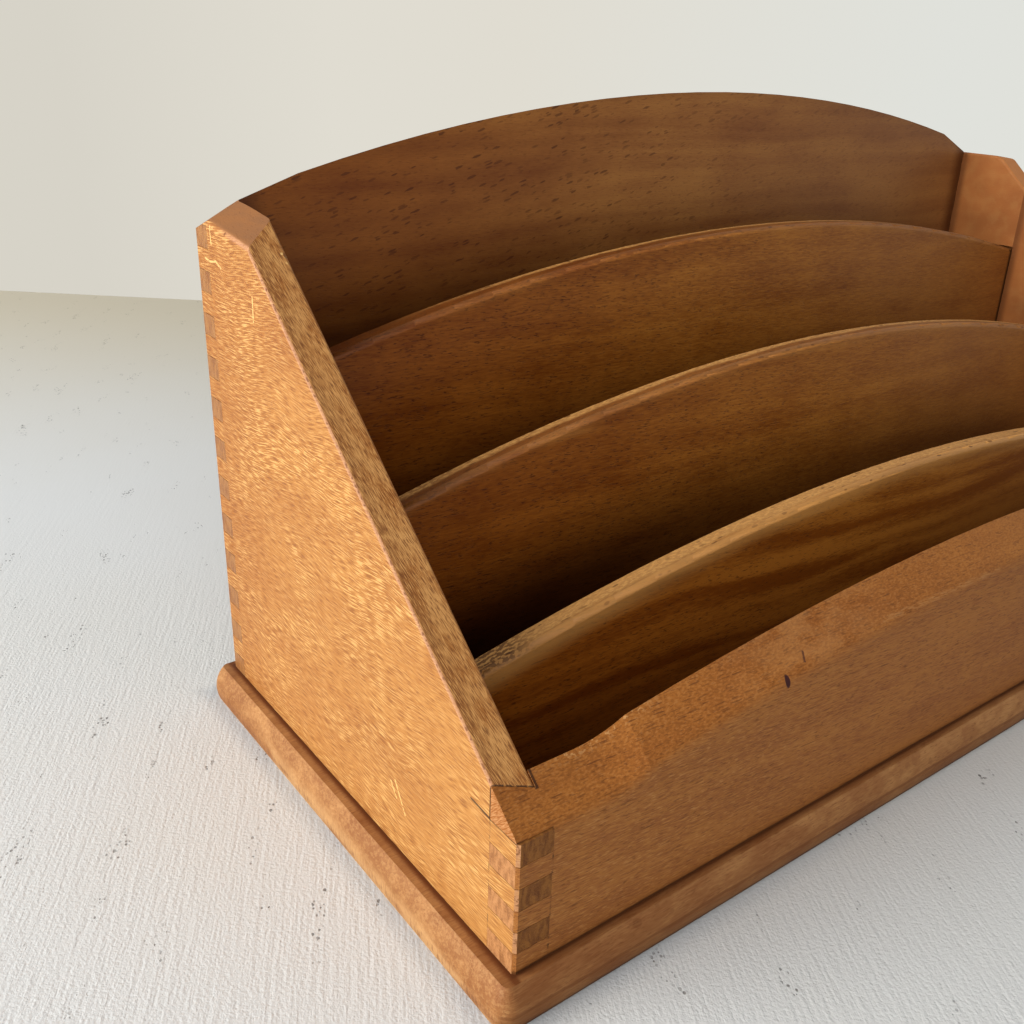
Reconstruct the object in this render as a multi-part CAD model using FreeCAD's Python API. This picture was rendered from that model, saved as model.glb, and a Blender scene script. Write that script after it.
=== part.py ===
"""Letter rack in beech: four pockets between finger-jointed walls on a rounded base board.

X runs along the length, the front faces -Y and Z points up.  The origin is the middle
of the underside of the base board.  All sizes are millimetres.
"""
import FreeCAD, Part
import math
import os

Vector = FreeCAD.Vector

# Carcass: two sides, a back and a front, joined at their corners by fingers.
BOX_LENGTH = 354.0
BOX_DEPTH = 150.0
SIDE_THICKNESS = 9.5
FRONT_THICKNESS = 10.0
BACK_THICKNESS = 8.0
SIDE_HEIGHT = 145.0
SIDE_TOP_LENGTH = 25.0          # level stretch of a side's top, before it slopes to the front

# Arched tops of the back and the front.
ARCH_SHIFT = 3.8                # the arches peak this far to the right of the middle
BACK_HEADROOM = 25.4            # from the top of the sides up to the peak of the back
BACK_ARCH_RISE = 18.5           # the part of it that the arch takes
BACK_FILED_END = 17.5           # straight stretch from the arch down to each side
FRONT_HEADROOM = 15.1           # from the front's level ends up to its peak
FRONT_ARCH_RISE = 11.2          # the part of it that the arch takes
FRONT_LEVEL_END = 12.0          # level stretch beside each side
FRONT_HOLLOW_END = 15.5         # hollow curve from the level stretch up to the arch

# Finger joints: every second step up a corner is a finger of the front or the back.
REAR_STEPS = 24                 # steps up the whole height of a side
FRONT_STEPS = 6                 # whole steps up the front corner, under the sloping edge
GLUE_LINE = 0.10                # room between a finger and its socket
WEDGE_SLANT = 3.0               # the top joint line runs this far forward on its way inwards

# Dividers: loose boards in grooves.
DIVIDER_NAMES = ("front_divider", "middle_divider", "rear_divider")
DIVIDER_CROWNS = (67.6, 99.7, 129.6)    # peaks of their arched tops, above the base board
DIVIDER_RISES = (20.2, 23.4, 23.4)      # from the ends of those arches up to the peaks
DIVIDER_THICKNESS = 6.0
POCKET_WIDTH = 29.6             # clear width of the pockets in front of each divider
GROOVE_DEPTH = 4.0
GROOVE_FIT = 0.15               # room on each face of a divider in its groove
GROOVE_END_ROOM = 0.9           # room above a divider's corner, where the groove stops

# Base board: its edge is a narrow ledge, then a convex nose.
BASE_THICKNESS = 11.0
BASE_OVERHANG = 5.0             # from the front or back to the fullest point of the nose
BASE_END_OVERHANG = 6.2         # from a side to the fullest point of the nose
NOSE_DEPTH = 2.7                # from the ledge to the fullest point of the nose
NOSE_FULLEST_HEIGHT = 4.0       # height of the fullest point above the underside
NOSE_FOOT_TUCK = 0.7            # how far the nose falls back at the underside
BASE_CORNER_RADIUS = 4.5

# Countersunk wood screws, driven up through the base board into the front and the back.
SCREW_SPACING = 120.0           # along each wall, with one screw in the middle
SCREW_LENGTH = 28.0
SCREW_SHANK_RADIUS = 1.5
SCREW_HEAD_RADIUS = 3.1
SCREW_HEAD_HEIGHT = 1.9
SCREW_POINT_LENGTH = 3.5
SCREW_SLOT_WIDTH = 0.8
SCREW_SLOT_DEPTH = 0.9
SCREW_SUNK = 0.4                # how far a head lies above the underside
SCREW_ROOM = 0.08               # room round the shank and under the head

# Sanding of the glued box.
CORNER_EASE = 0.7               # flat rubbed on the upright corners of the box
SLOPE_EASE = 0.9                # both edges of a side's slope
SLOPE_TOP_RADIUS = 8.0          # turn from the level top to the slope
SHOULDER_DROPS = (4.7, 1.5)     # fall of the left and right side's top, to its outer face
SHOULDER_TILTS = (6.5, 0.0)     # degrees by which those tops fall towards the front
SHOULDER_RADIUS = 2.5           # rounding of the outer edge of that top
BACK_TOP_FALL = 2.9             # the back's top falls by this to its rear edge
DIVIDER_TOP_EASE = 1.5          # front edge of a divider's top
FRONT_TOP_RADIUS = 5.0          # turn from the front's bevelled top to its face

# Places that follow from the sizes above.
BOX_BOTTOM = BASE_THICKNESS
HALF_LENGTH = BOX_LENGTH / 2
HALF_DEPTH = BOX_DEPTH / 2
INNER_X = HALF_LENGTH - SIDE_THICKNESS
FRONT_INNER_Y = -HALF_DEPTH + FRONT_THICKNESS
BACK_INNER_Y = HALF_DEPTH - BACK_THICKNESS
STEP = SIDE_HEIGHT / REAR_STEPS
SLOPE_TOP_Y = HALF_DEPTH - SIDE_TOP_LENGTH
FRONT_CORNER_HEIGHT = FRONT_STEPS * STEP
SLOPE_RATE = (SIDE_HEIGHT - FRONT_CORNER_HEIGHT) / (SLOPE_TOP_Y + HALF_DEPTH)
BACK_CROWN_Z = BOX_BOTTOM + SIDE_HEIGHT + BACK_HEADROOM
FRONT_RIM_Z = BOX_BOTTOM + FRONT_CORNER_HEIGHT + SLOPE_RATE * FRONT_THICKNESS
FRONT_CROWN_Z = FRONT_RIM_Z + FRONT_HEADROOM
BOX_TOP = BACK_CROWN_Z
DIVIDER_END_X = INNER_X + GROOVE_DEPTH - GROOVE_FIT
OUTSIDE = 5.0                   # how far a cutter runs past the face that it opens


def slope_z(y):
    """Height of the sloping edge of the sides at a depth."""
    return BOX_BOTTOM + FRONT_CORNER_HEIGHT + SLOPE_RATE * (y + HALF_DEPTH)


def block(x0, x1, y0, y1, z0, z1):
    return Part.makeBox(x1 - x0, y1 - y0, z1 - z0, Vector(x0, y0, z0))


def outline_face(edges):
    return Part.Face(Part.Wire(Part.__sortEdges__(edges)))


def polygon_edges(points):
    return [Part.makeLine(a, b) for a, b in zip(points, points[1:])]


def arc(start, middle, end):
    return Part.Arc(start, middle, end).toShape()


class Arch:
    """An arched top edge: an arc of a circle over a span on both sides of the middle."""

    def __init__(self, crown_z, rise, half_span):
        self.crown_z = crown_z
        self.half_span = half_span
        self.radius = (half_span ** 2 + rise ** 2) / (2 * rise)

    def z(self, x):
        fall = self.radius - math.sqrt(self.radius ** 2 - (x - ARCH_SHIFT) ** 2)
        return self.crown_z - fall

    def point(self, x, y):
        return Vector(x, y, self.z(x))

    def ends(self, y):
        return self.point(-self.half_span, y), self.point(self.half_span, y)

    def edge(self, y):
        left, right = self.ends(y)
        return arc(left, self.point(ARCH_SHIFT, y), right)


def divider_arch(index):
    return Arch(BOX_BOTTOM + DIVIDER_CROWNS[index], DIVIDER_RISES[index], DIVIDER_END_X)


def sanded(shape):
    """Rub a flat on the upright corners of the glued box."""
    envelope = block(-HALF_LENGTH, HALF_LENGTH, -HALF_DEPTH, HALF_DEPTH, 0, BOX_TOP + OUTSIDE)
    corners = [e for e in envelope.Edges
               if abs(e.Vertexes[0].Z - e.Vertexes[-1].Z) > BOX_TOP / 2]
    return shape.common(envelope.makeChamfer(CORNER_EASE, corners))


def shoulder_cutter(sign):
    """What is sanded off above the top of one side, from its inner to its outer face."""
    top = BOX_BOTTOM + SIDE_HEIGHT
    drop, forward_tilt = SHOULDER_DROPS[sign > 0], SHOULDER_TILTS[sign > 0]
    tilt = math.atan2(drop, SIDE_THICKNESS)
    outer_x = HALF_LENGTH
    corner = Vector(sign * outer_x, 0, top - drop)
    # the tangent length of a rounding between the tilted top and the upright face
    reach = SHOULDER_RADIUS * math.tan((math.pi / 2 - tilt) / 2)
    on_top = corner + Vector(-sign * reach * math.cos(tilt), 0, reach * math.sin(tilt))
    on_face = corner - Vector(0, 0, reach)
    centre = on_face - Vector(sign * SHOULDER_RADIUS, 0, 0)
    middle_angle = (math.pi / 2 - tilt) / 2
    middle = centre + Vector(sign * SHOULDER_RADIUS * math.cos(middle_angle), 0,
                             SHOULDER_RADIUS * math.sin(middle_angle))
    inner = Vector(sign * INNER_X, 0, top)
    far = sign * (outer_x + OUTSIDE)
    edges = polygon_edges([on_face, Vector(far, 0, on_face.z), Vector(far, 0, top + OUTSIDE),
                           Vector(inner.x, 0, top + OUTSIDE), inner, on_top])
    face = outline_face(edges + [arc(on_top, middle, on_face)])
    face.translate(Vector(0, -HALF_DEPTH - OUTSIDE, 0))
    cutter = face.extrude(Vector(0, BOX_DEPTH + 2 * OUTSIDE, 0))
    cutter.rotate(Vector(0, BACK_INNER_Y, top), Vector(1, 0, 0), forward_tilt)
    return cutter


def rear_fall_cutter(sign):
    """What is filed off where that top runs on into the falling top of the back."""
    top = BOX_BOTTOM + SIDE_HEIGHT
    inner = Vector(sign * INNER_X, 0, top)
    run = SIDE_THICKNESS + OUTSIDE
    outer = inner + Vector(sign * run, 0, -SHOULDER_DROPS[sign > 0] * run / SIDE_THICKNESS)
    above_outer, above_inner = Vector(outer.x, 0, top + OUTSIDE), inner + Vector(0, 0, OUTSIDE)
    face = outline_face(polygon_edges([inner, outer, above_outer, above_inner, inner]))
    face.translate(Vector(0, BACK_INNER_Y - OUTSIDE, 0))
    cutter = face.extrude(Vector(0, BACK_THICKNESS + 2 * OUTSIDE, 0))
    rear_fall = math.degrees(math.atan2(BACK_TOP_FALL, BACK_THICKNESS))
    cutter.rotate(Vector(0, BACK_INNER_Y, top), Vector(1, 0, 0), -rear_fall)
    return cutter


def step_z(index):
    return BOX_BOTTOM + index * STEP


def rear_steps(parity):
    """Lower and upper height of every second step up a rear corner."""
    return [(step_z(i), step_z(i + 1)) for i in range(parity, REAR_STEPS, 2)]


def front_steps(parity):
    """The same up a front corner, under the wedge."""
    return [(step_z(i), step_z(i + 1)) for i in range(parity, FRONT_STEPS, 2)]


def corner_sockets(sign, y0, y1, steps):
    """Sockets through the corner where a side meets the front or the back."""
    room = GLUE_LINE / 2
    x0, x1 = sorted((sign * (INNER_X - room), sign * (HALF_LENGTH + OUTSIDE)))
    return [block(x0, x1, y0, y1, z0 - room, z1 + room) for z0, z1 in steps]


def wedge_room(sign, far_y, room):
    """The corner above the last step, from its slanted joint line to a depth.

    The end of the front fills it in front of that line, and the side behind it.
    """
    inner_x = sign * (INNER_X - GLUE_LINE / 2)
    outer_x = sign * (HALF_LENGTH + OUTSIDE)
    slant_end = FRONT_INNER_Y + room
    corners = [(inner_x, far_y), (outer_x, far_y), (outer_x, slant_end),
               (sign * HALF_LENGTH, slant_end), (inner_x, slant_end - WEDGE_SLANT)]
    points = [Vector(x, y, step_z(FRONT_STEPS) - GLUE_LINE / 2) for x, y in corners]
    face = Part.Face(Part.makePolygon(points + points[:1]))
    return face.extrude(Vector(0, 0, BOX_TOP))


def side_profile():
    """Outline of a side, seen along X."""
    bottom, top = BOX_BOTTOM, BOX_BOTTOM + SIDE_HEIGHT
    corner = Vector(0, SLOPE_TOP_Y, top)
    angle = math.atan(SLOPE_RATE)
    reach = SLOPE_TOP_RADIUS * math.tan(angle / 2)
    on_top = corner + Vector(0, reach, 0)
    on_slope = corner - Vector(0, reach * math.cos(angle), reach * math.sin(angle))
    centre = on_top - Vector(0, 0, SLOPE_TOP_RADIUS)
    middle = centre + Vector(0, -SLOPE_TOP_RADIUS * math.sin(angle / 2),
                             SLOPE_TOP_RADIUS * math.cos(angle / 2))
    edges = polygon_edges([on_slope, Vector(0, -HALF_DEPTH, slope_z(-HALF_DEPTH)),
                           Vector(0, -HALF_DEPTH, bottom), Vector(0, HALF_DEPTH, bottom),
                           Vector(0, HALF_DEPTH, top), on_top])
    return outline_face(edges + [arc(on_top, middle, on_slope)])


def divider_front_y(index):
    return FRONT_INNER_Y + POCKET_WIDTH + index * (POCKET_WIDTH + DIVIDER_THICKNESS)


def groove(sign, index):
    """Stopped groove for one end of a divider, open at the foot of the side."""
    y0 = divider_front_y(index) - GROOVE_FIT
    y1 = y0 + DIVIDER_THICKNESS + 2 * GROOVE_FIT
    end_z = divider_arch(index).z(sign * INNER_X)
    x0, x1 = sorted((sign * (INNER_X - OUTSIDE), sign * (INNER_X + GROOVE_DEPTH)))
    return block(x0, x1, y0, y1, BOX_BOTTOM - OUTSIDE, end_z + GROOVE_END_ROOM)


def make_side(sign):
    board = side_profile()
    board.translate(Vector(-HALF_LENGTH if sign < 0 else INNER_X, 0, 0))
    board = board.extrude(Vector(SIDE_THICKNESS, 0, 0))
    slope_edges = [e for e in board.Edges
                   if abs(e.Vertexes[0].Y - e.Vertexes[-1].Y) > BOX_DEPTH / 4
                   and abs(e.Vertexes[0].Z - e.Vertexes[-1].Z) > STEP]
    board = board.makeFillet(SLOPE_EASE, slope_edges)
    cuts = corner_sockets(sign, BACK_INNER_Y - GLUE_LINE / 2, HALF_DEPTH + OUTSIDE, rear_steps(0))
    cuts += corner_sockets(sign, -HALF_DEPTH - OUTSIDE, FRONT_INNER_Y + GLUE_LINE / 2, front_steps(0))
    cuts.append(wedge_room(sign, -HALF_DEPTH - OUTSIDE, GLUE_LINE / 2))
    cuts += [groove(sign, i) for i in range(len(DIVIDER_NAMES))]
    cuts += [shoulder_cutter(sign), rear_fall_cutter(sign)]
    return sanded(board.cut(cuts))


def wall_face(y, spring_z, top_edges):
    """A front or back: level over the sides' thickness, with other edges between them."""
    first, last = top_edges[0].Vertexes[0].Point, top_edges[-1].Vertexes[-1].Point
    corners = [first, Vector(-HALF_LENGTH, y, spring_z), Vector(-HALF_LENGTH, y, BOX_BOTTOM),
               Vector(HALF_LENGTH, y, BOX_BOTTOM), Vector(HALF_LENGTH, y, spring_z), last]
    return outline_face(polygon_edges(corners) + top_edges)


def back_face():
    """The arched top of the back, with a straight filed stretch down to each side."""
    y = BACK_INNER_Y
    spring_z = BOX_BOTTOM + SIDE_HEIGHT
    top = Arch(BACK_CROWN_Z, BACK_ARCH_RISE, INNER_X - BACK_FILED_END)
    left, right = top.ends(y)
    return wall_face(y, spring_z, [Part.makeLine(Vector(-INNER_X, y, spring_z), left), top.edge(y),
                                   Part.makeLine(right, Vector(INNER_X, y, spring_z))])


def hollow(start, end):
    """An arc that leaves its start level and rises to its end."""
    run, rise = end.x - start.x, end.z - start.z
    radius = (run * run + rise * rise) / (2 * rise)
    half_angle = math.atan2(run, radius - rise) / 2
    middle = start + Vector(radius * math.sin(half_angle), 0, radius * (1 - math.cos(half_angle)))
    return start, middle, end


def front_face():
    """The arched top of the front, with a level stretch and a hollow beside each side."""
    y = FRONT_INNER_Y
    level_x = INNER_X - FRONT_LEVEL_END
    top = Arch(FRONT_CROWN_Z, FRONT_ARCH_RISE, level_x - FRONT_HOLLOW_END)
    left, right = top.ends(y)
    rise = hollow(Vector(-level_x, y, FRONT_RIM_Z), left)
    fall = hollow(Vector(level_x, y, FRONT_RIM_Z), right)
    return wall_face(y, FRONT_RIM_Z, [arc(*rise), top.edge(y), arc(*fall[::-1])])


def make_back():
    """The top falls to the rear, as the whole outline does when it is drawn back and down."""
    board = back_face().extrude(Vector(0, BACK_THICKNESS, -BACK_TOP_FALL))
    board = board.common(block(-HALF_LENGTH, HALF_LENGTH, BACK_INNER_Y, HALF_DEPTH,
                               BOX_BOTTOM, BOX_TOP + OUTSIDE))
    cuts = screw_holes()
    for sign in (-1, 1):
        cuts += corner_sockets(sign, BACK_INNER_Y - OUTSIDE, HALF_DEPTH + OUTSIDE, rear_steps(1))
        cuts += [shoulder_cutter(sign), rear_fall_cutter(sign)]
    return sanded(board.cut(cuts))


def bevel_path():
    """Seen along X: down the bevel of the front, then round into its upright face."""
    start = Vector(0, FRONT_INNER_Y, FRONT_RIM_Z)
    corner = Vector(0, -HALF_DEPTH, slope_z(-HALF_DEPTH))
    tilt = math.atan(SLOPE_RATE)
    turn = math.pi / 2 - tilt
    reach = FRONT_TOP_RADIUS * math.tan(turn / 2)
    on_bevel = corner + Vector(0, reach * math.cos(tilt), reach * math.sin(tilt))
    on_face = corner - Vector(0, 0, reach)
    centre = on_face + Vector(0, FRONT_TOP_RADIUS, 0)
    middle = centre + Vector(0, -FRONT_TOP_RADIUS * math.cos(turn / 2),
                             FRONT_TOP_RADIUS * math.sin(turn / 2))
    return Part.Wire([Part.makeLine(start, on_bevel), arc(on_bevel, middle, on_face)])


def make_front():
    """The front's top is bevelled forward, in line with the slope of the sides."""
    sweep = Part.BRepOffsetAPI.MakePipeShell(bevel_path())
    sweep.setTrihedronMode(Vector(0, 0, 0), Vector(1, 0, 0))
    sweep.add(front_face().OuterWire)
    sweep.build()
    sweep.makeSolid()
    board = sweep.shape()
    board = board.common(block(-HALF_LENGTH, HALF_LENGTH, -HALF_DEPTH, FRONT_INNER_Y,
                               BOX_BOTTOM, BOX_TOP))
    skirt = block(-HALF_LENGTH, HALF_LENGTH, -HALF_DEPTH, FRONT_INNER_Y,
                  BOX_BOTTOM, BOX_BOTTOM + FRONT_CORNER_HEIGHT / 2)
    board = board.fuse(skirt).removeSplitter()
    cuts = screw_holes()
    for sign in (-1, 1):
        cuts += corner_sockets(sign, -HALF_DEPTH - OUTSIDE, FRONT_INNER_Y + OUTSIDE, front_steps(1))
        cuts.append(wedge_room(sign, FRONT_INNER_Y + OUTSIDE, -GLUE_LINE / 2))
    return sanded(board.cut(cuts))


def make_divider(index):
    y = divider_front_y(index)
    top = divider_arch(index)
    left, right = top.ends(y)
    edges = polygon_edges([left, Vector(left.x, y, BOX_BOTTOM), Vector(right.x, y, BOX_BOTTOM), right])
    board = outline_face(edges + [top.edge(y)]).extrude(Vector(0, DIVIDER_THICKNESS, 0))
    front = [e for e in board.Edges if e.Curve.TypeId == "Part::GeomCircle"
             and abs(e.Vertexes[0].Y - y) < DIVIDER_THICKNESS / 2]
    return board.makeFillet(DIVIDER_TOP_EASE, front)


def rounded_rectangle(half_x, half_y, radius, z):
    """A closed wire that starts in the middle of its right edge."""
    points = [Vector(half_x, 0, z)]
    edges = []
    for quarter in range(4):
        turn = quarter * math.pi / 2
        cx = (half_x - radius) * (1 if quarter in (0, 3) else -1)
        cy = (half_y - radius) * (1 if quarter in (0, 1) else -1)
        start, middle, end = [Vector(cx + radius * math.cos(turn + k * math.pi / 4),
                                     cy + radius * math.sin(turn + k * math.pi / 4), z)
                              for k in range(3)]
        edges += [Part.makeLine(points[-1], start), arc(start, middle, end)]
        points.append(end)
    edges.append(Part.makeLine(points[-1], points[0]))
    return Part.Wire(edges)


def make_base():
    half_x, half_y = HALF_LENGTH + BASE_END_OVERHANG, HALF_DEPTH + BASE_OVERHANG
    board = Part.Face(rounded_rectangle(half_x, half_y, BASE_CORNER_RADIUS, 0))
    board = board.extrude(Vector(0, 0, BASE_THICKNESS))
    top = Vector(half_x - NOSE_DEPTH, 0, BASE_THICKNESS)
    fullest = Vector(half_x, 0, NOSE_FULLEST_HEIGHT)
    foot = Vector(half_x - NOSE_FOOT_TUCK, 0, 0)
    far = half_x + OUTSIDE
    waste = polygon_edges([foot, foot - Vector(0, 0, OUTSIDE), Vector(far, 0, -OUTSIDE),
                           Vector(far, 0, BASE_THICKNESS + OUTSIDE),
                           top + Vector(0, 0, OUTSIDE), top])
    waste = Part.Wire(Part.__sortEdges__(waste + [arc(top, fullest, foot)]))
    path = rounded_rectangle(half_x, half_y, BASE_CORNER_RADIUS, 0)
    board = board.cut(path.makePipeShell([waste], True, False))
    return board.cut(screw_holes())


def screw_places():
    front_y = -HALF_DEPTH + FRONT_THICKNESS / 2
    back_y = HALF_DEPTH - BACK_THICKNESS / 2
    return [(k * SCREW_SPACING, y) for y in (front_y, back_y) for k in (-1, 0, 1)]


def screw_body(x, y, room):
    """A countersunk screw without its slot, grown by some room for its hole."""
    head = SCREW_HEAD_RADIUS + room
    shank = SCREW_SHANK_RADIUS + room
    head_z = SCREW_SUNK - (SCREW_SUNK + OUTSIDE if room else 0)
    neck_z = SCREW_SUNK + SCREW_HEAD_HEIGHT
    tip_z = SCREW_SUNK + SCREW_LENGTH + room
    points = [Vector(0, 0, head_z), Vector(head, 0, head_z), Vector(head, 0, SCREW_SUNK),
              Vector(shank, 0, neck_z), Vector(shank, 0, tip_z - SCREW_POINT_LENGTH),
              Vector(0, 0, tip_z), Vector(0, 0, head_z)]
    points = [p for i, p in enumerate(points) if i == 0 or (p - points[i - 1]).Length > 0]
    body = Part.Face(Part.makePolygon(points)).revolve(Vector(0, 0, 0), Vector(0, 0, 1), 360)
    body.translate(Vector(x, y, 0))
    return body


def screw_holes():
    return [screw_body(x, y, SCREW_ROOM) for x, y in screw_places()]


def make_screws():
    screws = []
    for x, y in screw_places():
        slot = block(x - SCREW_HEAD_RADIUS, x + SCREW_HEAD_RADIUS,
                     y - SCREW_SLOT_WIDTH / 2, y + SCREW_SLOT_WIDTH / 2,
                     0, SCREW_SUNK + SCREW_SLOT_DEPTH)
        screws.append(screw_body(x, y, 0).cut(slot))
    return Part.makeCompound(screws)


def main():
    os.makedirs("parts", exist_ok=True)
    pieces = {
        "base_board": make_base(),
        "left_side": make_side(-1),
        "right_side": make_side(1),
        "back_panel": make_back(),
        "front_panel": make_front(),
        "base_screws": make_screws(),
    }
    for index, name in enumerate(DIVIDER_NAMES):
        pieces[name] = make_divider(index)
    for name, shape in pieces.items():
        shape.exportStep("parts/" + name + ".step")
        box = shape.BoundBox
        print(name, "solids", len(shape.Solids), "valid", shape.isValid(),
              "volume", round(shape.Volume, 1),
              "box", [round(v, 2) for v in (box.XMin, box.YMin, box.ZMin,
                                            box.XMax, box.YMax, box.ZMax)])


main()
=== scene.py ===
import math
from functools import reduce

import bpy
from bpy.props import FloatProperty, FloatVectorProperty, PointerProperty
from bpy.types import Operator, Panel, PropertyGroup
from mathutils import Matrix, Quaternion, Vector


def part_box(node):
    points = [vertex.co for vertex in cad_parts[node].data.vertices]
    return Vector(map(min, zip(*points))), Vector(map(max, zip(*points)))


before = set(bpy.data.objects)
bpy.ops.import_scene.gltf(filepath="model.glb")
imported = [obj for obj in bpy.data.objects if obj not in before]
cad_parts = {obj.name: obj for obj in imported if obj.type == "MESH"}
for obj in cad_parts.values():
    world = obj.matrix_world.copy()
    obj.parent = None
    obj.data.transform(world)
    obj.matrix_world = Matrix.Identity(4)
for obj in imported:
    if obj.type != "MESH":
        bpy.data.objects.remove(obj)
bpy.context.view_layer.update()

bl_info = {
    "name": "Beech Letter Sorter",
    "version": (1, 0, 0),
    "blender": (4, 5, 0),
    "location": "View3D > Sidebar > Letter Sorter",
    "description": "Waxed, worn beech for a letter sorter, with its stage, lights and camera",
    "category": "Material",
}

MILLIMETRES = 1000.0                # in a metre
DIVIDERS = ("front_divider", "middle_divider", "rear_divider")


def millimetre_box(node):
    """Lowest and highest corner of a node, in millimetres."""
    low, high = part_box(node)
    return low * MILLIMETRES, high * MILLIMETRES


SIDE_LOW, SIDE_HIGH = millimetre_box("right_side")
FRONT_LOW, FRONT_HIGH = millimetre_box("front_panel")
BACK_LOW, BACK_HIGH = millimetre_box("back_panel")
BASE_HIGH = millimetre_box("base_board")[1]

OUTER_X = SIDE_HIGH.x               # outer face of a side
INNER_X = SIDE_LOW.x                # inner face of a side
FRONT_Y = FRONT_LOW.y               # outer face of the front
FRONT_INNER_Y = FRONT_HIGH.y        # inner face of the front
BACK_Y = BACK_HIGH.y                # outer face of the back
BACK_INNER_Y = BACK_LOW.y           # inner face of the back
BACK_TOP = BACK_HIGH.z              # crown of the back
DIVIDER_FACES = tuple(millimetre_box(name)[0].y for name in DIVIDERS)
BOX_Z = BASE_HIGH.z                 # top of the base board, where the box stands
SIDE_HEIGHT = 145.0                 # height of a side, before its top is sanded down
FINGER_ROWS = 24                    # rows of fingers in a corner joint
FINGER_STEP = SIDE_HEIGHT / FINGER_ROWS
WEDGE_ROWS = 6                      # rows below the wedge at each end of the front
WEDGE_Z = BOX_Z + WEDGE_ROWS * FINGER_STEP
WEDGE_SLANT = 3.0                   # the wedge's joint line runs this far forward inwards
CROWN_X = 3.8                       # the arched tops peak this far right of the middle
DIVIDER_ARCH = 1300.0               # about twice the radius of a divider's arched top
BACK_ARCH = 1250.0                  # about twice the radius of the back's arched top
GRAIN_SLANT = math.radians(17)      # the back's flecks climb to the right

# Outward normals of the sawn tops; -1 is the left side and 1 the right side.
SLOPE_NORMAL = (0.0, -0.659, 0.752)
CAP_NORMALS = {-1: (-0.443, -0.101, 0.890), 1: (0.156, 0.0, 0.988)}
REAR_FALL_NORMALS = {-1: (-0.443, 0.305, 0.843), 1: (0.156, 0.336, 0.929)}

# Marks of use on the left side: y and z of a place, or of the two ends of a scratch.
SIDE_SCRATCHES = (((69.5, 141.3), (65.8, 140.9)), ((65.8, 140.9), (62.2, 141.6)),
                  ((62.2, 141.6), (59.1, 140.3)), ((64.7, 150.3), (64.4, 145.6)),
                  ((40.3, 136.7), (40.5, 130.4)), ((-25.5, 31.5), (-30.0, 23.9)),
                  ((-23.5, 30.0), (-26.0, 26.5)))
SIDE_PIN_HOLE = (55.5, 149.7)
CRACK_ROOT = (-65.0, 47.3)
CRACK_ENDS = ((-57.9, 48.0), (-65.0, 55.5), (-74.5, 47.3))
# The same on the edge along its slope, as y and x.
SLOPE_CHIP = (38.6, -168.1)
SLOPE_CHIP_CORE = (38.9, -168.2)
# The same on the front, as x and z.
NAIL_HOLE = (-95.2, 56.6)
FRONT_DENT = ((-86.9, 60.7), (-87.8, 59.2))
FRONT_SCRATCH = ((-57.2, 61.4), (-4.8, 61.8))

# Dirt, painted shade and painted sheen, as linear colours.
SIDE_GLUE_LINE = (0.035, 0.014, 0.006)
GLUE_LINE = (0.03, 0.012, 0.005)
# FRONT_GAP and DIVIDER_GAP are painted shade in narrow gaps.
FRONT_GAP = (0.02, 0.008, 0.004)
DIVIDER_GAP = (0.02, 0.006, 0.002)
DIVIDER_PITS = (0.05, 0.016, 0.005)
NAIL_RUST = (0.045, 0.012, 0.010)
DULL_EDGE = (0.62, 0.50, 0.40)
# Painted light in the pockets: shade at the left, sheen at the right, and shade deep down.
POCKET_LEFT_SHADE = (0.70, 0.52, 0.30)
POCKET_SHEEN = (0.162, 0.065, 0.028)
POCKET_DEEP_SHADE = (0.05, 0.02, 0.01)


# Properties: colours as they look on screen, lengths in metres.

def on_screen(red, green, blue):
    """A colour given as it looks on screen, from 0 to 255, as linear values."""
    def linear(part):
        part = part / 255
        return part / 12.92 if part <= 0.04045 else ((part + 0.055) / 1.055) ** 2.4
    return (linear(red), linear(green), linear(blue))


def colour(name, description, red, green, blue):
    return FloatVectorProperty(name=name, description=description, subtype="COLOR", size=3,
                               min=0.0, max=1.0, default=on_screen(red, green, blue))


def light_tint(name, description, red, green, blue):
    """The tint of a light, as linear values around 1."""
    return FloatVectorProperty(name=name, description=description, subtype="COLOR", size=3,
                               min=0.0, max=2.0, default=(red, green, blue))


def length(name, description, millimetres):
    return FloatProperty(name=name, description=description, subtype="DISTANCE", unit="LENGTH",
                         min=0.0, default=millimetres / MILLIMETRES)


class FigureSettings(PropertyGroup):
    """Sizes of the figure of the wood."""
    dash_length: length("Dash Length", "Length of the short dark rays along the grain", 1.9)
    dash_width: length("Dash Width", "Width of the short dark rays", 0.36)
    fibre_length: length("Fibre Length", "Length of the fine light and dark fibres", 3.2)
    fibre_width: length("Fibre Width", "Width of the fine light and dark fibres", 0.36)
    band_length: length("Band Length", "Length of the growth bands along the grain", 130.0)
    band_width: length("Band Width", "Width of the growth bands", 6.0)
    cloud_size: length("Cloud Size", "Size of the soft patches in the wax", 26.0)
    fleck_length: length("Fleck Length", "Length of the large dark flecks of the back", 3.6)
    fleck_width: length("Fleck Width", "Width of the large dark flecks of the back", 0.85)
    relief: length("Relief", "Depth of the open grain", 0.05)


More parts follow.
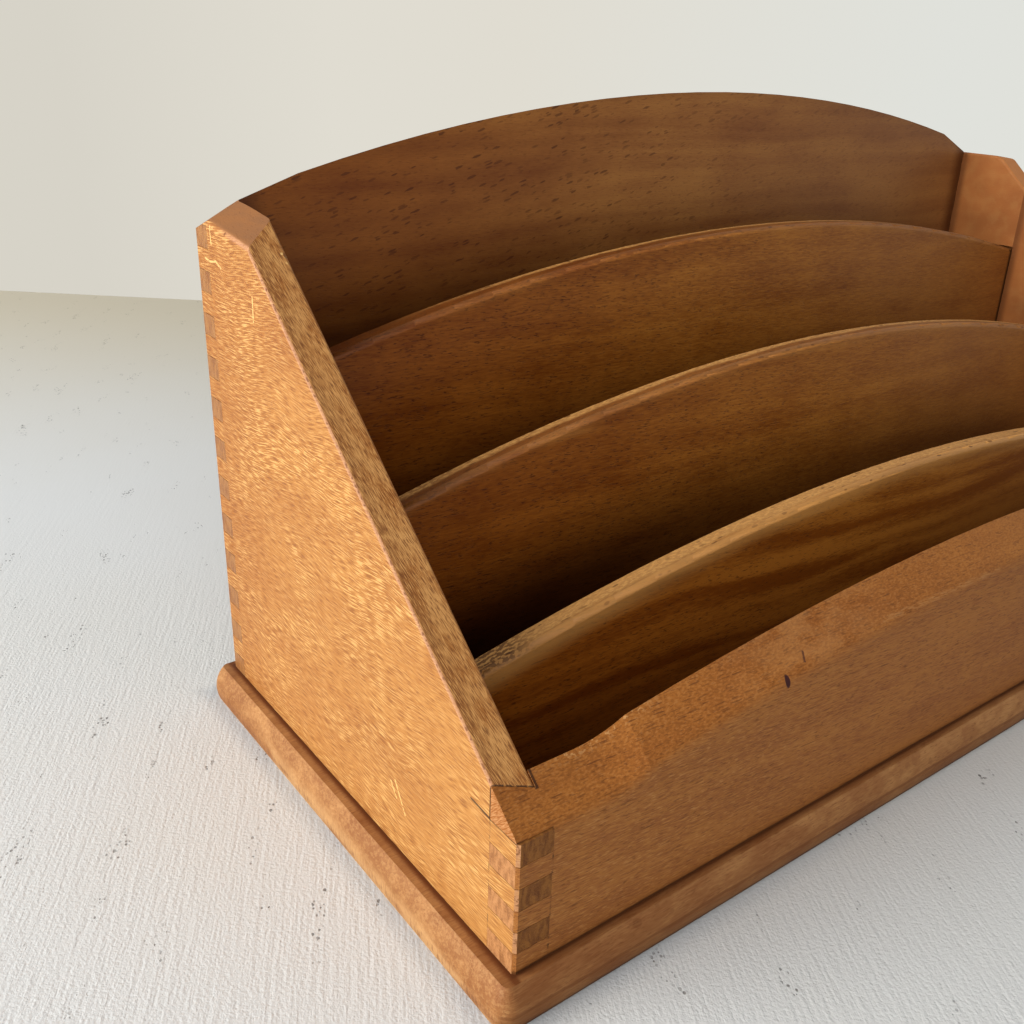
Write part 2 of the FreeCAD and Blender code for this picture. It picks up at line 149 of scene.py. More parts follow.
class SideSettings(PropertyGroup):
    """Colours of the two sides."""
    light: colour("Light", "Outer face where it is palest", 176, 120, 58)
    dark: colour("Dark", "Outer face where the wax is richest", 142, 84, 33)
    dash: colour("Dash", "Short rays on the outer face", 116, 64, 26)
    glint: colour("Glint", "Short pale rays and scratches", 220, 174, 104)
    cap: colour("Cap", "Sanded top beside the back", 126, 81, 44)
    slope_light: colour("Slope Light", "Cut edge along the slope, palest", 204, 146, 80)
    slope: colour("Slope", "Cut edge along the slope", 154, 94, 38)
    slope_dash: colour("Slope Dash", "Rays on the cut edge", 104, 56, 22)
    slope_grey: colour("Slope Grey", "Cut edge beside the outer face", 132, 84, 40)
    inner: colour("Inner", "Inner face", 164, 98, 46)
    inner_slope: colour("Inner Slope", "Cut edge of the right side", 182, 112, 54)
    arris: colour("Arris", "Rubbed edges", 180, 128, 90)
    end_light: colour("End Light", "Finger ends where they are palest", 136, 85, 32)
    end_dark: colour("End Dark", "Pores of the finger ends", 100, 54, 16)


class BackSettings(PropertyGroup):
    """Colours of the back."""
    light: colour("Light", "Face where it is palest", 164, 108, 50)
    dark: colour("Dark", "Face where the wax is richest", 124, 71, 29)
    dash: colour("Dash", "Short rays", 92, 46, 14)
    fleck: colour("Fleck", "Large dark flecks", 74, 34, 10)
    top: colour("Top", "Filed top edge", 92, 48, 18)
    end_light: colour("End Light", "Finger ends where they are palest", 176, 122, 66)
    end_dark: colour("End Dark", "Pores of the finger ends", 140, 86, 42)


class FrontSettings(PropertyGroup):
    """Colours of the front."""
    light: colour("Light", "Face where it is palest", 160, 102, 47)
    dark: colour("Dark", "Face where the wax is richest", 138, 82, 38)
    dash: colour("Dash", "Short rays", 84, 42, 16)
    bevel: colour("Bevel", "Bevelled top edge", 162, 98, 38)
    bevel_dark: colour("Bevel Dark", "Bevelled top edge where the wax is richest", 138, 78, 27)
    chip: colour("Chip", "Worn spots along the rim", 204, 148, 88)
    end_light: colour("End Light", "Finger ends where they are palest", 172, 118, 70)
    end_dark: colour("End Dark", "Pores of the finger ends", 130, 82, 44)


class DividerSettings(PropertyGroup):
    """Colours of the three dividers."""
    light: colour("Light", "Face where it is palest", 166, 103, 34)
    dark: colour("Dark", "Face where the wax is richest", 122, 64, 12)
    dash: colour("Dash", "Short rays", 72, 34, 8)
    edge: colour("Edge", "Rubbed top edge", 206, 150, 80)
    edge_dark: colour("Edge Dark", "Top edge where it is not rubbed", 138, 80, 36)


class BaseSettings(PropertyGroup):
    """Colours of the base board."""
    light: colour("Light", "Nose where it is palest", 168, 118, 68)
    dark: colour("Dark", "Nose where the wax is richest", 124, 74, 36)
    dash: colour("Dash", "Pores and rays", 96, 50, 20)
    rubbed: colour("Rubbed", "Worn patches of the nose", 200, 154, 98)
    joint: colour("Joint", "Dirt in the joint under the box", 44, 20, 8)


class ScrewSettings(PropertyGroup):
    """Colours of the screws under the base board."""
    steel: colour("Steel", "Screw heads", 150, 146, 140)
    steel_dark: colour("Steel Dark", "Scratches on the screw heads", 96, 90, 82)
    relief: length("Relief", "Depth of the scratches", 0.02)


class StageSettings(PropertyGroup):
    """Floor, backdrop and light."""
    floor: colour("Floor", "Painted floor", 203, 199, 187)
    floor_far: colour("Floor Far", "Painted floor towards its far edge", 194, 180, 150)
    floor_contact_shadow: colour("Floor Contact", "Painted floor close to the base board", 150, 152, 150)
    # painted contact shadow on the floor beside the base board
    floor_speck: colour("Floor Speck", "Small chips in the paint", 84, 76, 66)
    wall_left: colour("Wall Left", "Backdrop on the left", 215, 211, 200)
    wall: colour("Wall", "Backdrop in the middle", 224, 220, 209)
    wall_right: colour("Wall Right", "Backdrop on the right", 224, 225, 219)
    floor_relief: length("Floor Relief", "Depth of the brush marks", 0.5)
    floor_size: length("Floor Size", "Length of the floor's sides", 5000.0)
    wall_distance: length("Wall Distance", "From the origin to the far edge of the floor", 458.0)
    wall_turn: FloatProperty(name="Wall Turn", description="Direction of the far edge, about Z",
                             subtype="ANGLE", unit="ROTATION", default=math.radians(-41.0))
    window_power: FloatProperty(name="Window Power", description="Power of the window light",
                                subtype="POWER", unit="POWER", min=0.0, default=48.0)
    window_tint: light_tint("Window Tint", "Tint of the window light", 0.94, 0.985, 1.08)
    fill_power: FloatProperty(name="Fill Power", description="Power of the soft light in front",
                              subtype="POWER", unit="POWER", min=0.0, default=9.0)
    fill_tint: light_tint("Fill Tint", "Tint of the soft light", 1.0, 0.99, 0.98)
    sky_strength: FloatProperty(name="Sky Strength", description="Light from all round",
                                min=0.0, default=0.50)
    sky_tint: light_tint("Sky Tint", "Tint of the light from all round", 0.90, 1.0, 1.22)


class CameraSettings(PropertyGroup):
    """Where the camera stands and how it looks."""
    place: FloatVectorProperty(name="Place", description="Place of the camera", size=3,
                               subtype="TRANSLATION", unit="LENGTH",
                               default=(-0.28241, -0.20823, 0.19916))
    azimuth: FloatProperty(name="Azimuth", description="Turn of the view about Z", subtype="ANGLE",
                           unit="ROTATION", default=math.radians(-37.17))
    elevation: FloatProperty(name="Elevation", description="How far the view looks down",
                             subtype="ANGLE", unit="ROTATION", default=math.radians(24.39))
    roll: FloatProperty(name="Roll", description="Tilt of the picture", subtype="ANGLE",
                        unit="ROTATION", default=math.radians(1.84))
    lens: FloatProperty(name="Lens", description="Focal length", subtype="DISTANCE_CAMERA",
                        unit="CAMERA", min=1.0, default=37.45)


# Shader building.

class Value:
    """An output in a shader; Python's operators add Math nodes to it."""

    def __init__(self, shader, socket):
        self.shader = shader
        self.socket = socket

    def __add__(self, other):
        return self.shader.math("ADD", self, other)

    def __sub__(self, other):
        return self.shader.math("SUBTRACT", self, other)

    def __rsub__(self, other):
        return self.shader.math("SUBTRACT", other, self)

    def __mul__(self, other):
        return self.shader.math("MULTIPLY", self, other)

    def __truediv__(self, other):
        return self.shader.math("DIVIDE", self, other)

    def __rtruediv__(self, other):
        return self.shader.math("DIVIDE", other, self)

    def __neg__(self):
        return self * -1

    def __abs__(self):
        return self.shader.math("ABSOLUTE", self)

    __radd__ = __add__
    __rmul__ = __mul__


class Shader:
    """The node tree of a material or of the world, with short ways to add nodes."""

    def __init__(self, owner):
        owner.use_nodes = True
        self.owner = owner
        self.nodes = owner.node_tree.nodes
        self.links = owner.node_tree.links
        self.nodes.clear()

    def node(self, kind, inputs, output=0, **settings):
        """Add a node, make its settings, then fill its inputs; gives back one output."""
        node = self.nodes.new(kind)
        for name, setting in settings.items():
            setattr(node, name, setting)
        for name, given in inputs.items():
            if isinstance(given, Value):
                self.links.new(given.socket, node.inputs[name])
            else:
                node.inputs[name].default_value = given
        return Value(self, node.outputs[output])

    def math(self, operation, first, second=0.0):
        return self.node("ShaderNodeMath", {0: first, 1: second}, operation=operation)

    def lowest(self, first, second):
        return self.math("MINIMUM", first, second)

    def highest(self, first, second):
        return self.math("MAXIMUM", first, second)

    def fade(self, value, start, end):
        """0 before start, 1 past end and smooth between; start may be the higher."""
        return self.node("ShaderNodeMapRange", {"Value": value, "From Min": start, "From Max": end},
                         interpolation_type="SMOOTHSTEP")

    def between(self, value, start, end, soft):
        """1 from start to end, fading over a soft width outside them."""
        return self.fade(value, start - soft, start) * self.fade(value, end + soft, end)

    def mix(self, amount, under, over, blend="MIX"):
        """Lay one colour over another."""
        colours = [part if isinstance(part, Value) else (*part, 1.0) for part in (under, over)]
        return self.node("ShaderNodeMix", {0: amount, 6: colours[0], 7: colours[1]}, output=2,
                         data_type="RGBA", blend_type=blend)

    def coats(self, under, *layers):
        """Lay several colours, each with its amount, one over another."""
        for amount, over in layers:
            under = self.mix(amount, under, over)
        return under

    def point(self, x, y, z):
        return self.node("ShaderNodeCombineXYZ", {0: x, 1: y, 2: z})

    def parts(self, vector):
        return [self.node("ShaderNodeSeparateXYZ", {0: vector}, output=axis) for axis in range(3)]

    def place(self):
        """Place on the object, in millimetres along X, Y and Z."""
        vector = self.node("ShaderNodeTexCoord", {}, output="Object")
        return [part * MILLIMETRES for part in self.parts(vector)]

    def facing(self):
        """Which way the surface faces along X, Y and Z."""
        return self.parts(self.node("ShaderNodeTexCoord", {}, output="Normal"))

    def noise(self, x, y, z, detail=2.0, roughness=0.5):
        """Cloudy noise from 0 to 1 whose lumps are about one unit wide."""
        return self.node("ShaderNodeTexNoise", {"Vector": self.point(x, y, z), "Scale": 1.0,
                                                "Detail": detail, "Roughness": roughness})

    def stroke(self, u, v, start, end, width):
        """1 along a straight scratch between two points, fading over its width."""
        du, dv = end[0] - start[0], end[1] - start[1]
        from_u, from_v = u - start[0], v - start[1]
        along = (from_u * du + from_v * dv) / (du * du + dv * dv)
        along = self.highest(self.lowest(along, 1.0), 0.0)
        off_u, off_v = from_u - along * du, from_v - along * dv
        distance = self.math("SQRT", off_u * off_u + off_v * off_v)
        return self.fade(distance, width, width * 0.3)

    def strokes(self, u, v, scratches, width):
        """1 along any of several straight scratches."""
        marks = [self.stroke(u, v, start, end, width) for start, end in scratches]
        return reduce(self.highest, marks)

    def flecks(self, u, v, share_of_cells):
        """1 on scattered flecks up to one unit long and wide, in a share of the cells."""
        cell = {"Vector": self.point(u, v, 0.0), "Scale": 1.0, "Randomness": 1.0}
        distance = self.node("ShaderNodeTexVoronoi", cell, "Distance", voronoi_dimensions="2D")
        tint = self.node("ShaderNodeTexVoronoi", cell, "Color", voronoi_dimensions="2D")
        chance, size, strength = self.parts(tint)
        chosen = self.fade(chance, share_of_cells, share_of_cells * 0.9)
        rim = size * 0.32 + 0.20
        return self.fade(distance - rim, 0.06, -0.10) * chosen * (strength * 0.6 + 0.4)

    def facing_along(self, facing, direction):
        """How much the surface faces along a direction, up to 1."""
        return sum((part * share for part, share in zip(facing, direction) if share), 0.0)

    def spot(self, u, v, middle, half_u, half_v):
        """1 inside an oval, fading at its rim."""
        off_u, off_v = (u - middle[0]) / half_u, (v - middle[1]) / half_v
        return self.fade(off_u * off_u + off_v * off_v, 1.3, 0.7)

    def close(self, surface, kind):
        """Send a surface to the output, which ends the tree."""
        output = self.nodes.new(kind)
        self.links.new(surface.socket, output.inputs["Surface"])
        return self.owner

    def finish(self, colour_value, roughness, height, relief, metallic=0.0, gloss=0.25):
        """Close the tree with a Principled surface whose height shows as relief."""
        normal = self.node("ShaderNodeBump",
                           {"Height": height, "Distance": relief, "Strength": 1.0})
        surface = self.node("ShaderNodeBsdfPrincipled", {
            "Base Color": colour_value, "Roughness": roughness, "Normal": normal,
            "Metallic": metallic, "Specular IOR Level": gloss})
        return self.close(surface, "ShaderNodeOutputMaterial")


class Beech:
    """The figure of one board: grain runs along one axis, the rays and bands follow it."""

    def __init__(self, shader, figure, along, across, depth, seed):
        self.shader = shader
        size = {name: getattr(figure, name) * MILLIMETRES
                for name in ("dash_length", "dash_width", "fibre_length", "fibre_width",
                             "band_length", "band_width", "cloud_size")}
        noise = shader.noise
        self.clouds = noise(along / size["cloud_size"] + seed, across / (size["cloud_size"] * 0.6),
                            depth / size["cloud_size"])
        wander = (noise(along / size["band_length"] + seed, across / 40, depth / 40) - 0.5) * 16
        self.bands = noise(along / size["band_length"],
                           (across + wander) / size["band_width"] + seed,
                           depth / size["band_width"], detail=3.0)
        self.fibres = noise(along / size["fibre_length"], across / size["fibre_width"] + seed,
                            depth / size["fibre_width"], detail=2.0)
        rays = noise(along / size["dash_length"] + seed, across / size["dash_width"],
                     depth / size["dash_width"], detail=1.0)
        self.dashes = shader.fade(rays, 0.58, 0.72)
        self.glints = shader.fade(rays, 0.42, 0.27)

    def colour(self, light, dark, dash, dash_amount, bands=1.0, fibres=1.0, clouds=1.0):
        """Face colour: bands, fibres and clouds between light and dark, then the dark rays."""
        shader = self.shader
        tone = (self.bands - 0.5) * bands + (self.clouds - 0.5) * clouds
        tone = tone + (self.fibres - 0.5) * fibres + 0.5
        tone = shader.highest(shader.lowest(tone, 1.0), 0.0)
        return shader.mix(self.dashes * dash_amount, shader.mix(tone, light, dark), dash)

    def height(self):
        """The open grain: fibres stand up and rays lie low."""
        return (self.fibres * 0.5 + 0.5) - self.dashes * 0.6

    def roughness(self, level):
        """A little smoother where the wax is thick."""
        return level - self.clouds * 0.1


def give(node, material):
    """Replace the material of a node."""
    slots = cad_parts[node].data.materials
    slots.clear()
    slots.append(material)


def new_shader(name):
    """The empty tree of a new material."""
    return Shader(bpy.data.materials.new(name))


def arris(shader, facing_values):
    """1 on rounded and chamfered edges, which face along none of the board's own directions."""
    return shader.fade(reduce(shader.highest, facing_values), 0.985, 0.90)


def end_grain(shader, u, v, light, dark, seed):
    """Pores and curved growth rings on a sawn end."""
    bend = (shader.noise(u / 7 + seed, v / 7, 0.0) - 0.5) * 3
    rings = shader.noise((u + bend) / 1.1 + seed, (v + bend) / 5.0, 0.0, detail=3.0)
    pores = shader.noise(u / 0.5 + seed, v / 0.5, 0.0, detail=2.0)
    return shader.mix(shader.fade(rings + pores * 0.5, 0.55, 1.0), light, dark)


def side_fingers(shader, z):
    """1 over the height of every finger of a side, 0 over those of the front and back."""
    row = shader.math("FRACT", (z - BOX_Z) / (2 * FINGER_STEP))
    return shader.fade(row, 0.51, 0.49)


def joint_lines(shader, u, z, inner_u, outer_u, rows):
    """Dark glue lines of a finger-jointed corner, broken here and there.

    They run level between the fingers, and upright along the inner end of the fingers
    whose rows are given.
    """
    step = shader.math("FRACT", (z - BOX_Z) / FINGER_STEP + 0.5)
    level = shader.fade(abs(step - 0.5) * FINGER_STEP, 0.30, 0.08)
    level = level * shader.between(u, inner_u, outer_u, 0.1)
    upright = shader.fade(abs(u - inner_u), 0.34, 0.10) * rows
    broken = shader.fade(shader.noise(u / 2.5, z / 3.0, 0.0), 0.44, 0.62) * 0.85 + 0.08
    return shader.highest(level, upright) * broken


# Sides.

def side_outer_face(shader, wood, x, y, z, colours):
    """Richer towards the back and the top, paler along the slope, with fine pale and dark hairs."""
    lean = z + y * 0.05 + shader.noise(y / 40, z / 40, 0.0) * 9
    hairs = shader.noise(y / 4.4, lean / 0.33, x / 3 + 2, detail=1.0)
    streaky = shader.fade(shader.noise(y / 30 + 4, z / 18, 0.0), 0.40, 0.62) * 0.6 + 0.4
    return shader.coats(
        wood.colour(colours.light, colours.dark, colours.dash, 0.3,
                    bands=0.6, fibres=0.8, clouds=0.8),
        (shader.fade(y, 15.0, 78.0) * 0.65, colours.dark),
        (shader.fade(y, -10.0, -60.0) * 0.35, colours.light),
        (shader.fade(hairs, 0.50, 0.64) * streaky * 0.5, colours.glint),
        (shader.fade(hairs, 0.47, 0.35) * 0.6, colours.dash))


def side_inner_face(shader, wood, y, z, colours):
    """Smooth, with painted shade and grime in the corners with the back and the dividers."""
    face = wood.colour(colours.inner, colours.inner, colours.dash, 0.10)
    face = shader.mix(shader.fade(wood.clouds, 0.35, 0.7) * 0.35, face, colours.slope_dash)
    mottle = shader.noise(y / 5, z / 5, 6.0, detail=3.0)
    face = shader.mix(shader.fade(mottle, 0.4, 0.7) * 0.07, face, colours.glint)
    # painted shade, with some grime, along each inner corner
    for corner_y in (BACK_INNER_Y,) + DIVIDER_FACES:
        corner_shade_and_dirt = shader.fade(y, corner_y - 4.0, corner_y - 0.8)
        corner_shade_and_dirt = corner_shade_and_dirt * shader.fade(y, corner_y + 0.1, corner_y)
        face = shader.mix(corner_shade_and_dirt * 0.8, face, colours.slope_dash)
    return face


def side_slope(shader, x, run, across, tone, sign, colours):
    """The sawn slope: rays almost in line with it, greyer towards the outer face."""
    hairs = shader.noise(run / 2.4 + 5, across / 0.25, 0.0, detail=1.0)
    cut = shader.coats(
        colours.slope,
        (tone * 0.7, colours.slope_light),
        (shader.fade(abs(x), INNER_X + 4.0, OUTER_X - 0.5) * 0.5, colours.slope_grey),
        (shader.fade(hairs, 0.48, 0.36) * 0.7, colours.slope_dash),
        (shader.fade(hairs, 0.52, 0.64) * 0.7, colours.slope_light))
    return shader.mix(0.9, cut, colours.inner_slope) if sign > 0 else cut


def side_joints(shader, x, y, z, outside, sign):
    """Glue lines of both corners, the slanted one of the wedge and the left side's cracks."""
    panel_rows = 1 - side_fingers(shader, z)
    in_front = shader.between(z, BOX_Z, WEDGE_Z + 0.3, 0.1)
    lines = joint_lines(shader, -y, z, -FRONT_INNER_Y, -FRONT_Y, panel_rows) * in_front * 0.6
    lines = lines + joint_lines(shader, y, z, BACK_INNER_Y, BACK_Y, panel_rows) * 0.2
    lines = lines * outside
    wedge_y = FRONT_INNER_Y - (OUTER_X - abs(x)) * (WEDGE_SLANT / (OUTER_X - INNER_X))
    broken = shader.fade(shader.noise(x / 0.8, y / 0.8, z / 0.8), 0.38, 0.52)
    seam = shader.fade(abs(y - wedge_y), 0.42, 0.14) * shader.fade(z, WEDGE_Z - 0.4, WEDGE_Z)
    lines = lines + seam * broken
    for end in CRACK_ENDS if sign < 0 else ():
        lines = lines + outside * shader.stroke(y, z, CRACK_ROOT, end, 0.45)
    return lines


def left_side_marks(shader, surface, x, y, z, slope, outside, ragged, colours):
    """Scratches and a pin hole on the outer face, and a chip on the inner edge of the slope."""
    scratches = shader.strokes(y, z, SIDE_SCRATCHES, 0.42)
    patchy = shader.fade(shader.noise(y / 0.9, z / 0.9, 3.0), 0.32, 0.5)
    hole = shader.spot(y, z, SIDE_PIN_HOLE, 0.4, 0.5)
    chip = shader.spot(y, x, SLOPE_CHIP, 1.9, 1.1) * shader.fade(slope, 0.5, 0.8)
    core = shader.spot(y, x, SLOPE_CHIP_CORE, 0.7, 0.4) * shader.fade(slope, 0.5, 0.8)
    return shader.coats(
        surface,
        (scratches * patchy * outside * 0.8, colours.glint),
        (hole * outside * 0.8, colours.end_dark),
        (chip * shader.fade(ragged, 0.48, 0.53), colours.glint),
        (core * 0.8, colours.slope_dash))


def side_material(name, sign, figure, colours):
    """A side: golden outside, smooth inside, with a sawn slope, a cap and finger ends."""
    shader = new_shader(name)
    x, y, z = shader.place()
    facing = shader.facing()
    facing_x, facing_y, facing_z = facing
    outward, inward = facing_x * sign, facing_x * -sign
    slope = shader.facing_along(facing, SLOPE_NORMAL)
    cap = shader.highest(shader.facing_along(facing, CAP_NORMALS[sign]),
                         shader.facing_along(facing, REAR_FALL_NORMALS[sign]))
    wood = Beech(shader, figure, y, z, x, seed=3.7 if sign < 0 else 11.3)

    face = side_outer_face(shader, wood, x, y, z, colours)
    inside = side_inner_face(shader, wood, y, z, colours)
    run = y * SLOPE_NORMAL[2] - z * SLOPE_NORMAL[1]
    across = x + run * 0.16
    tone = shader.fade(shader.noise(run / 10, across / 4.0, 4.0, detail=3.0), 0.35, 0.65)
    cut = side_slope(shader, x, run, across, tone, sign, colours)
    top = shader.coats(colours.cap, (tone * 0.3, colours.slope),
                       (wood.dashes * 0.25, colours.slope_dash))
    ends = end_grain(shader, x, z, colours.end_light, colours.end_dark, 5.0)
    front_corner = shader.fade(y, FRONT_Y + 1.2, FRONT_Y + 0.5) * shader.fade(outward, 0.6, 0.4)
    at_ends = shader.highest(shader.fade(abs(facing_y), 0.80, 0.95), front_corner)

    # edges rubbed pale on the outside, clear of the back's corner
    ragged = shader.noise(y / 1.3, z / 1.3, x / 1.3, detail=3.0)
    worn = arris(shader, [outward, inward, slope, abs(facing_y), cap, facing_z])
    worn = worn * shader.fade(y, 62.0, 48.0) * shader.fade(outward, -0.2, 0.2)
    worn = worn * (shader.fade(ragged, 0.36, 0.5) * 0.3 + 0.45)
    upright = shader.fade(abs(facing_y), 0.3, 0.5) * shader.fade(outward, 0.3, 0.5)

    outside = shader.fade(outward, 0.6, 0.9)
    lines = side_joints(shader, x, y, z, outside, sign)
    surface = shader.coats(
        face,
        (shader.fade(inward, 0.3, 0.6), inside),
        (shader.fade(slope, 0.80, 0.95), cut),
        (shader.fade(cap, 0.90, 0.98), top),
        (worn * (0.9 if sign < 0 else 0.06), colours.arris),
        (upright * shader.fade(ragged, 0.52, 0.62) * 0.7, colours.end_dark),
        (at_ends, ends),
        (shader.lowest(lines, 1.0) * 0.85, SIDE_GLUE_LINE))
    if sign < 0:
        surface = left_side_marks(shader, surface, x, y, z, slope, outside, ragged, colours)
    height = wood.height() - lines
    return shader.finish(surface, wood.roughness(0.62), height, figure.relief, gloss=0.18)


# Dividers and back.

def below_arch(x, z, top, arch):
    """How far a place lies below the arched top of its board."""
    return (top - (x - CROWN_X) * (x - CROWN_X) / arch) - z


def pocket_shade(shader, surface, x, below, depth):
    """Painted light in a pocket: painted shade makes the left richer and darker, a painted sheen
    greys the right, and painted shade makes it almost black deep down.
    """
    left = shader.fade(x, 20.0, -165.0)
    surface = shader.mix(left, surface, POCKET_LEFT_SHADE, "MULTIPLY")
    surface = shader.mix(shader.fade(x, -20.0, 120.0) * 0.3, surface, POCKET_SHEEN)
    deep = shader.fade(below, depth * 0.4, depth)
    return shader.mix(deep * (left * 0.5 + 0.45), surface, POCKET_DEEP_SHADE, "MULTIPLY")


def divider_material(name, node, figure, colours, seed, bands, rubbed, depth, bare_from):
    """A divider's face, with painted shade low in its pocket, under a top edge rubbed pale.

    rubbed is how pale the edge is worn, from 0 to 1, and bare_from is where that starts.
    The painted shade of the pocket is darkest at its depth below the edge.
    """
    low, high = millimetre_box(node)
    shader = new_shader(name)
    x, y, z = shader.place()
    _, facing_y, facing_z = shader.facing()
    wood = Beech(shader, figure, x, z + x * 0.03, y, seed)
    rays = shader.fade(x, 80.0, -80.0) * 0.5 + 0.2
    face = wood.colour(colours.light, colours.dark, colours.dash, rays, bands=bands, fibres=1.6)
    below = below_arch(x, z, high.z, DIVIDER_ARCH)
    face = pocket_shade(shader, face, x, below, depth)

    # the top edge, rubbed pale towards its rear arris
    through = (y - low.y) / (high.y - low.y)
    wave = (shader.noise(x / 22 + seed, 0.0, 0.0) - 0.5) * 0.5
    on_top = shader.fade(facing_z, 0.3, 0.8)
    face = shader.mix(on_top * (1 - rubbed), face, DULL_EDGE, "MULTIPLY")
    lit = shader.fade(through + wave, 0.75 - rubbed * 0.8, 0.90 - rubbed * 0.5)
    lit = lit * shader.fade(facing_z, 0.45, 0.8) * shader.fade(x, bare_from - 40, bare_from + 40)
    specks = shader.fade(shader.noise(x / 1.6 + seed, y / 0.8, 0.0, detail=2.0), 0.40, 0.58)
    edge = shader.coats(colours.edge, (specks * 0.5, colours.edge_dark),
                        (shader.fade(wood.fibres, 0.45, 0.62) * 0.4, colours.edge_dark))
    streaks = (wood.bands - 0.5) * 8
    soft = shader.fade(below + streaks, 2.5 + 5.0 * rubbed, 0.0) * 0.6 * rubbed

    dents = shader.flecks(x / 3.0 + seed, y / 0.9, 0.12) * shader.fade(facing_z, 0.3, 0.6)
    pitted = shader.fade(x, -140.0, -150.0) * shader.fade(specks, 0.3, 0.7) * rubbed * on_top
    # painted shade in the gap where the divider meets each side
    gap = shader.fade(abs(x), INNER_X - 2.0, INNER_X - 0.5) * shader.fade(facing_z, 0.9, 0.6)
    surface = shader.coats(
        face,
        (lit * 0.9, edge),
        (soft * shader.fade(facing_y, 0.2, -0.2), colours.edge),
        (dents * 0.7, colours.dash),
        (pitted * 0.8, DIVIDER_PITS),
        (gap * 0.85, DIVIDER_GAP))
    return shader.finish(surface, wood.roughness(0.46), wood.height(), figure.relief,
                         gloss=0.18)


def back_material(name, figure, colours):
    """The back: slanting dark flecks, finger ends and glue lines at its corners."""
    shader = new_shader(name)
    x, y, z = shader.place()
    facing_x, facing_y, facing_z = shader.facing()
    along = x * math.cos(GRAIN_SLANT) + z * math.sin(GRAIN_SLANT)
    across = z * math.cos(GRAIN_SLANT) - x * math.sin(GRAIN_SLANT)
    wood = Beech(shader, figure, x, z, y, seed=31.0)
    face = wood.colour(colours.light, colours.dark, colours.dash, 0.35, bands=1.6, fibres=0.7)
    inner_face = shader.fade(facing_y, 0.2, -0.2)
    below = below_arch(x, z, BACK_TOP, BACK_ARCH)
    # painted shade and sheen of the pocket, on the inner face only
    face = shader.mix(inner_face, face, pocket_shade(shader, face, x, below, depth=70.0))

    length_mm, width_mm = figure.fleck_length * MILLIMETRES, figure.fleck_width * MILLIMETRES
    bend = (shader.noise(x / 3.0, z / 3.0, 0.0) - 0.5) * 0.5
    flecks = shader.flecks(along / length_mm, across / width_mm + bend, 0.17)
    sparse = shader.fade(x, 60.0, -60.0) * 0.5 + 0.25
    ends = end_grain(shader, y, z, colours.end_light, colours.end_dark, 9.0)
    # painted shade and grime along the corners with the sides
    corner = shader.fade(abs(x), INNER_X - 9.0, INNER_X - 1.0) * inner_face
    lines = joint_lines(shader, abs(x), z, INNER_X, OUTER_X, side_fingers(shader, z))
    lines = lines * shader.fade(facing_y, 0.5, 0.8)
    surface = shader.coats(
        face,
        (flecks * sparse, colours.fleck),
        (shader.fade(facing_z, 0.5, 0.8), colours.top),
        (shader.fade(abs(facing_x), 0.7, 0.9), ends),
        (corner * 0.8, colours.fleck),
        (lines * 0.8, GLUE_LINE))
    height = wood.height() - lines
    return shader.finish(surface, wood.roughness(0.48), height, figure.relief, gloss=0.18)


# Front.

def front_face(shader, wood, x, z, colours):
    """Smooth brown, with thin rows of pores."""
    rows_of_pores = shader.flecks(x / 7.0, (z + x * 0.08) / 0.5, 0.035)
    return shader.coats(
        wood.colour(colours.light, colours.dark, colours.dash, 0.5, bands=1.2, fibres=2.8),
        (rows_of_pores * 0.5, colours.dash),
        (wood.glints * shader.fade(x, 0.0, -150.0) * 0.35, colours.chip),
        (shader.fade(z, BOX_Z + 20, BOX_Z) * 0.25, colours.dark))


def front_bevel(shader, wood, x, y, z, colours):
    """Richer and rougher than the face, and worn pale near its left end."""
    fuzz = shader.noise(x / 1.0, y / 0.5, z / 0.5, detail=2.0)
    tufts = shader.noise(x / 9 + 6, y / 5, z / 5, detail=3.0)
    pores = shader.flecks(x / 4.0, (y * 0.7 + z) / 0.45, 0.16)
    worn = shader.fade(x, -120.0, -84.0) * shader.fade(x, -44.0, -80.0)
    worn = worn * shader.fade(tufts, 0.3, 0.6)
    return shader.coats(
        wood.colour(colours.bevel, colours.bevel_dark, colours.dash, 0.5, bands=1.2, clouds=2.0),
        (shader.fade(fuzz, 0.48, 0.62) * 0.28, colours.dash),
        (shader.fade(fuzz, 0.46, 0.36) * 0.12, colours.chip),
        (pores * 0.7, colours.dash),
        (shader.fade(x, -90.0, 60.0) * 0.4, colours.light),
        (worn * 0.18, colours.chip))


def front_rim(shader, surface, x, y, z, facing_z, colours):
    """Pale chips along the rim, most where it dips beside the sides, and painted shade in the gaps
    at its ends.
    """
    rim = shader.fade(y, FRONT_INNER_Y - 2.2, FRONT_INNER_Y - 0.2)
    rim = rim * shader.fade(facing_z, 0.3, 0.6)
    dip = shader.fade(abs(x), 128.0, 140.0) * shader.fade(abs(x), 163.0, 156.0)
    chips = shader.fade(shader.noise(x / 0.9, y / 0.9, z / 0.9, detail=3.0), 0.52, 0.62)
    # painted shade in the gap beside each side
    gap = shader.between(abs(x), INNER_X - 0.6, INNER_X + 0.1, 0.2)
    gap = gap * shader.between(y, FRONT_INNER_Y - 3.2, FRONT_INNER_Y, 0.3)
    return shader.coats(surface, (rim * (dip * 0.55 + 0.1) * chips, colours.chip),
                        (gap * 0.8, FRONT_GAP))


def front_ends(shader, y, z, colours):
    """Finger ends, and the slanting threads of the wedge above them."""
    ends = end_grain(shader, y, z, colours.end_light, colours.end_dark, 2.0)
    threads = shader.noise((y - z) / 3.0, (y + z) / 0.4, 0.0, detail=2.0)
    wedge = shader.mix(shader.fade(threads, 0.35, 0.62), colours.end_light, colours.bevel_dark)
    return shader.mix(shader.fade(z, WEDGE_Z - 0.2, WEDGE_Z + 0.2), ends, wedge)


